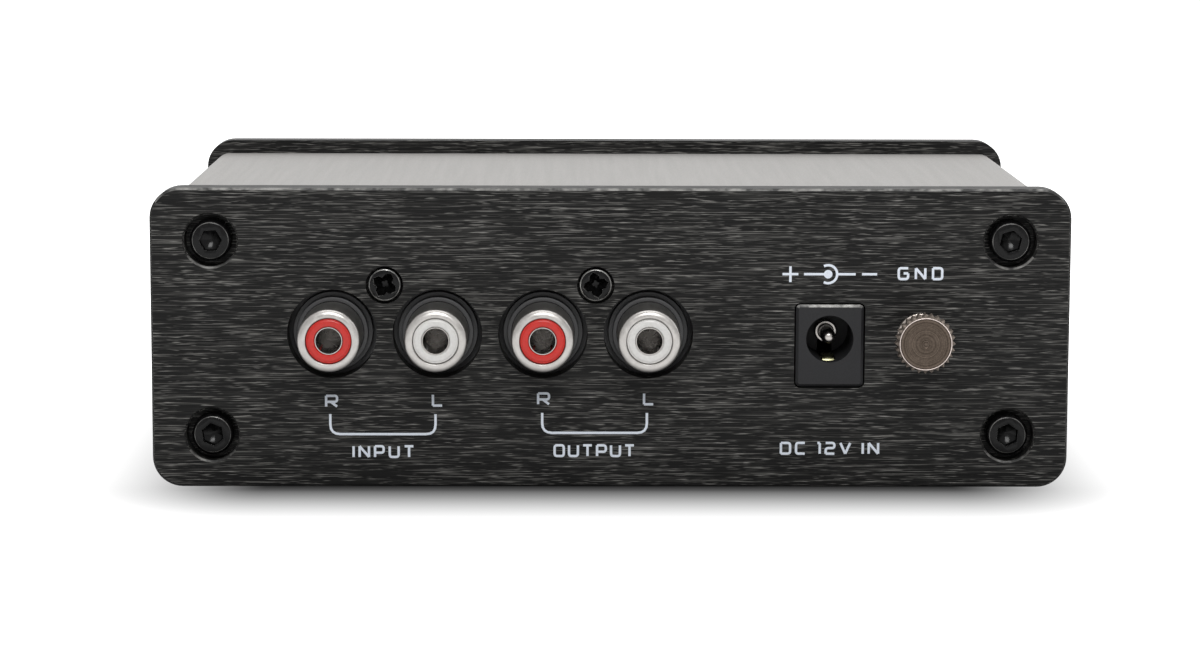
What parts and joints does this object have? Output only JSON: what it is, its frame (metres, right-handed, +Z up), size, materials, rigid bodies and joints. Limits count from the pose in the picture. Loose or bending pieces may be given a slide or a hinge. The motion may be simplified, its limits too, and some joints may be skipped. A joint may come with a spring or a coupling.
{
  "type": "phono preamp",
  "caption": "Slim metal phono preamp: phono input and output sockets, power jack and ground thumb screw on one end panel, power button on the other.",
  "frame": {"origin": "on the surface the feet stand on, under the middle of the whole with its screw and button", "axes": "+Z up, +X to the right as the connector panel is seen, -Y out of the connector panel, +Y out of the front panel"},
  "size_m": [0.122, 0.092, 0.0408],
  "materials": {
    "sleeve_anodised": "light grey satin anodised extrusion",
    "panel_anodised": "black anodised, long brushed grain",
    "black_steel": "black oxide on steel screws",
    "nickel": "satin nickel plating",
    "red_plastic": "moulded red insulator",
    "white_plastic": "moulded white insulator",
    "black_plastic": "moulded black housing",
    "tinned_contact": "tin plated contact strip",
    "ground_metal": "turned and knurled dark nickel",
    "board": "green solder mask on glass fibre board",
    "chip_package": "moulded epoxy",
    "film_box": "moulded capacitor box",
    "can_sleeve": "shrink sleeve on an aluminium can",
    "ferrite": "choke core",
    "resistor_coat": "resistor coating",
    "wire_jacket": "ground wire insulation",
    "light_lens": "diffused lens",
    "button_cap": "turned button cap",
    "foot_rubber": "moulded foot"
  },
  "bodies": {
    "root": {"case_sleeve": "sleeve_anodised", "connector_panel": "panel_anodised", "front_panel": "panel_anodised", "connector_panel_screws": "black_steel", "front_panel_screws": "black_steel", "jack_fixing_screws": "black_steel", "power_jack_housing": "black_plastic", "power_jack_pin": "nickel", "power_jack_spring": "tinned_contact", "ground_nut": "nickel", "ground_lug": "tinned_contact", "ground_wire": "wire_jacket", "power_switch_housing": "black_plastic", "light_holder": "black_plastic", "power_light": "light_lens", "circuit_board": "board", "left_coupling_capacitor": "can_sleeve", "right_coupling_capacitor": "can_sleeve", "input_supply_capacitor": "can_sleeve", "output_supply_capacitor": "can_sleeve", "supply_regulator": "chip_package", "supply_choke": "ferrite", "supply_diode": "chip_package", "resistors": "resistor_coat", "input_jack_housing": "black_plastic", "input_right_shell": "nickel", "input_right_insulator": "red_plastic", "input_right_contact": "tinned_contact", "input_left_shell": "nickel", "input_left_insulator": "white_plastic", "input_left_contact": "tinned_contact", "input_stage_chip_socket": "black_plastic", "input_stage_chip": "chip_package", "output_jack_housing": "black_plastic", "output_right_shell": "nickel", "output_right_insulator": "red_plastic", "output_right_contact": "tinned_contact", "output_left_shell": "nickel", "output_left_insulator": "white_plastic", "output_left_contact": "tinned_contact", "output_stage_chip_socket": "black_plastic", "output_stage_chip": "chip_package", "film_capacitor_1": "film_box", "rubber_foot_1": "foot_rubber", "film_capacitor_2": "film_box", "rubber_foot_2": "foot_rubber", "film_capacitor_3": "film_box", "rubber_foot_3": "foot_rubber", "film_capacitor_4": "film_box", "rubber_foot_4": "foot_rubber"},
    "ground_washer": {"ground_washer": "ground_metal"},
    "ground_screw": {"ground_thumb_screw": "ground_metal"},
    "power_button": {"power_button": "button_cap", "power_switch_plunger": "black_plastic"}
  },
  "joints": [
    {"name": "ground_lift", "type": "slide", "parent": "root", "child": "ground_washer", "axis": [0, -1, 0], "range_m": [0, 0.0028]},
    {"name": "ground_turn", "type": "hinge", "parent": "ground_washer", "child": "ground_screw", "pos_m": [0.0411, -0.038, 0.0212], "axis": [0, -1, 0], "range_deg": [0, 1440]},
    {"name": "button_press", "type": "slide", "parent": "root", "child": "power_button", "axis": [0, -1, 0], "range_m": [0, 0.0025], "stiffness_N_per_m": 200}
  ],
  "couplings": [
    {"joint": "ground_turn", "follows": "ground_lift", "rad_per_m": 8976}
  ]
}
